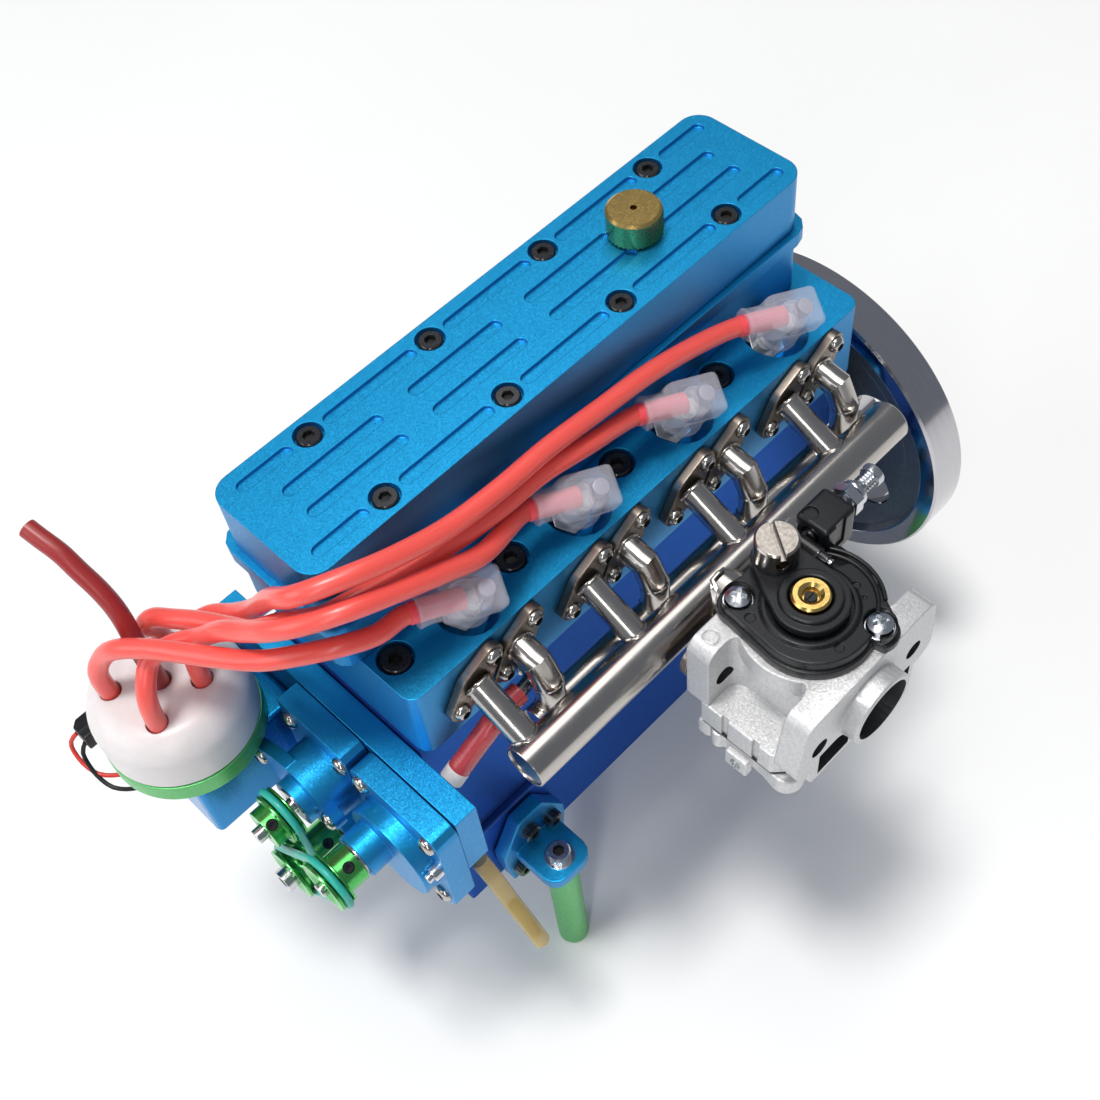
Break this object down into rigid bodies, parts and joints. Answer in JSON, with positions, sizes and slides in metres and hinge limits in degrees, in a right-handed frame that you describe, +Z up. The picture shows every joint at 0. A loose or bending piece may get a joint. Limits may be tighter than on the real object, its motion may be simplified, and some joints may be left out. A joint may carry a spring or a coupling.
{
  "type": "model engine",
  "caption": "Inline water-cooled model engine with spark ignition: anodised block and head, belt-driven pump, distributor with red plug leads, twin manifolds, rotary carburettor, flywheel.",
  "frame": {"origin": "on the floor under the middle of the engine's bounding box, the leads left out", "axes": "+X along the crankshaft towards the flywheel, -Y towards the carburettor, +Z up"},
  "size_m": [0.211, 0.1449, 0.185],
  "materials": {
    "block_blue": "satin blue anodised",
    "bright_blue": "bead-blasted blue anodised",
    "green_anodised": "polished green anodised",
    "steel": "turned",
    "stainless": "polished, tinted by welding",
    "cast_aluminium": "as cast",
    "zinc": "zinc and nickel plated",
    "brass": "turned",
    "black_plastic": "satin black",
    "cap_plastic": "milky white",
    "boot_plastic": "milky translucent",
    "ceramic": "white glazed ceramic and steel",
    "red_silicone": "smooth red silicone",
    "hose_red": "translucent red",
    "tube_amber": "translucent amber",
    "belt": "teal"
  },
  "bodies": {
    "engine": {"bracket_front_left": "bright_blue", "bracket_front_right": "bright_blue", "bracket_rear_left": "bright_blue", "bracket_rear_right": "bright_blue", "breather_tube": "tube_amber", "carburettor_body": "cast_aluminium", "carburettor_cover": "black_plastic", "coil_lead": "red_silicone", "coolant_hose": "hose_red", "cylinder_block": "block_blue", "cylinder_head": "bright_blue", "diaphragm_cover": "cast_aluminium", "distributor_cap": "cap_plastic", "distributor_housing": "bright_blue", "distributor_ring": "green_anodised", "exhaust_manifold": "stainless", "idler_belt": "belt", "intake_manifold": "stainless", "oil_pan": "block_blue", "plug_boot_1": "boot_plastic", "plug_boot_2": "boot_plastic", "plug_boot_3": "boot_plastic", "plug_boot_4": "boot_plastic", "plug_lead_1": "red_silicone", "plug_lead_2": "red_silicone", "plug_lead_3": "red_silicone", "plug_lead_4": "red_silicone", "post_front_left": "green_anodised", "post_front_right": "green_anodised", "post_rear_left": "green_anodised", "post_rear_right": "green_anodised", "pump_belt": "belt", "pump_housing": "bright_blue", "rear_bearing_plate": "bright_blue", "rocker_box": "bright_blue", "rocker_cover": "bright_blue", "rocker_shaft": "steel", "sensor_plug": "black_plastic", "spark_plug_1": "ceramic", "spark_plug_2": "ceramic", "spark_plug_3": "ceramic", "spark_plug_4": "ceramic", "timing_back_plate": "bright_blue", "timing_cover": "bright_blue"},
    "crank": {"crankshaft": "steel", "flywheel": "steel", "crank_pulley": "green_anodised"},
    "cam": {"camshaft": "steel"},
    "rotor": {"distributor_rotor": "black_plastic"},
    "idler": {"idler_pulley": "green_anodised"},
    "pump": {"pump_pulley": "green_anodised"},
    "throttle": {"throttle_barrel": "brass", "throttle_lever": "zinc"},
    "adjuster": {"cable_adjuster": "zinc"},
    "cap": {"filler_cap": "brass"},
    "piston_1": {"piston_1": "cast_aluminium"},
    "piston_2": {"piston_2": "cast_aluminium"},
    "piston_3": {"piston_3": "cast_aluminium"},
    "piston_4": {"piston_4": "cast_aluminium"}
  },
  "joints": [
    {"name": "crank_spin", "type": "hinge", "parent": "engine", "child": "crank", "pos_m": [0, 0.0173, 0.076], "axis": [1, 0, 0], "continuous": true},
    {"name": "cam_spin", "type": "hinge", "parent": "engine", "child": "cam", "pos_m": [0, 0.0383, 0.095], "axis": [1, 0, 0], "continuous": true},
    {"name": "rotor_spin", "type": "hinge", "parent": "engine", "child": "rotor", "pos_m": [-0.08695, 0.0483, 0.1], "axis": [0, 0, 1], "continuous": true},
    {"name": "idler_spin", "type": "hinge", "parent": "engine", "child": "idler", "pos_m": [-0.08575, 0.0173, 0.102], "axis": [1, 0, 0], "continuous": true},
    {"name": "pump_spin", "type": "hinge", "parent": "engine", "child": "pump", "pos_m": [-0.08875, -0.0027, 0.102], "axis": [1, 0, 0], "continuous": true},
    {"name": "throttle_turn", "type": "hinge", "parent": "engine", "child": "throttle", "pos_m": [0.01105, -0.0502, 0.14], "axis": [0, 0, 1], "range_deg": [0, 75], "stiffness_Nm_per_rad": 0.02, "springref_deg": -22.92},
    {"name": "cable_adjuster_turn", "type": "hinge", "parent": "engine", "child": "adjuster", "pos_m": [0.03205, -0.0402, 0.1478], "axis": [1, 0, 0], "range_deg": [-720, 720]},
    {"name": "filler_cap_turn", "type": "hinge", "parent": "engine", "child": "cap", "pos_m": [0.04255, 0.0253, 0.18], "axis": [0, 0, 1], "range_deg": [0, 1080]},
    {"name": "piston_1_stroke", "type": "slide", "parent": "engine", "child": "piston_1", "axis": [0, 0, 1], "range_m": [-0.018, 0]},
    {"name": "piston_2_stroke", "type": "slide", "parent": "engine", "child": "piston_2", "axis": [0, 0, 1], "range_m": [0, 0.018]},
    {"name": "piston_3_stroke", "type": "slide", "parent": "engine", "child": "piston_3", "axis": [0, 0, 1], "range_m": [0, 0.018]},
    {"name": "piston_4_stroke", "type": "slide", "parent": "engine", "child": "piston_4", "axis": [0, 0, 1], "range_m": [-0.018, 0]}
  ],
  "couplings": [
    {"joint": "cam_spin", "follows": "crank_spin", "ratio": -0.5},
    {"joint": "rotor_spin", "follows": "crank_spin", "ratio": -0.5},
    {"joint": "idler_spin", "follows": "crank_spin", "ratio": 1.0769},
    {"joint": "pump_spin", "follows": "crank_spin", "ratio": 1.0769}
  ]
}
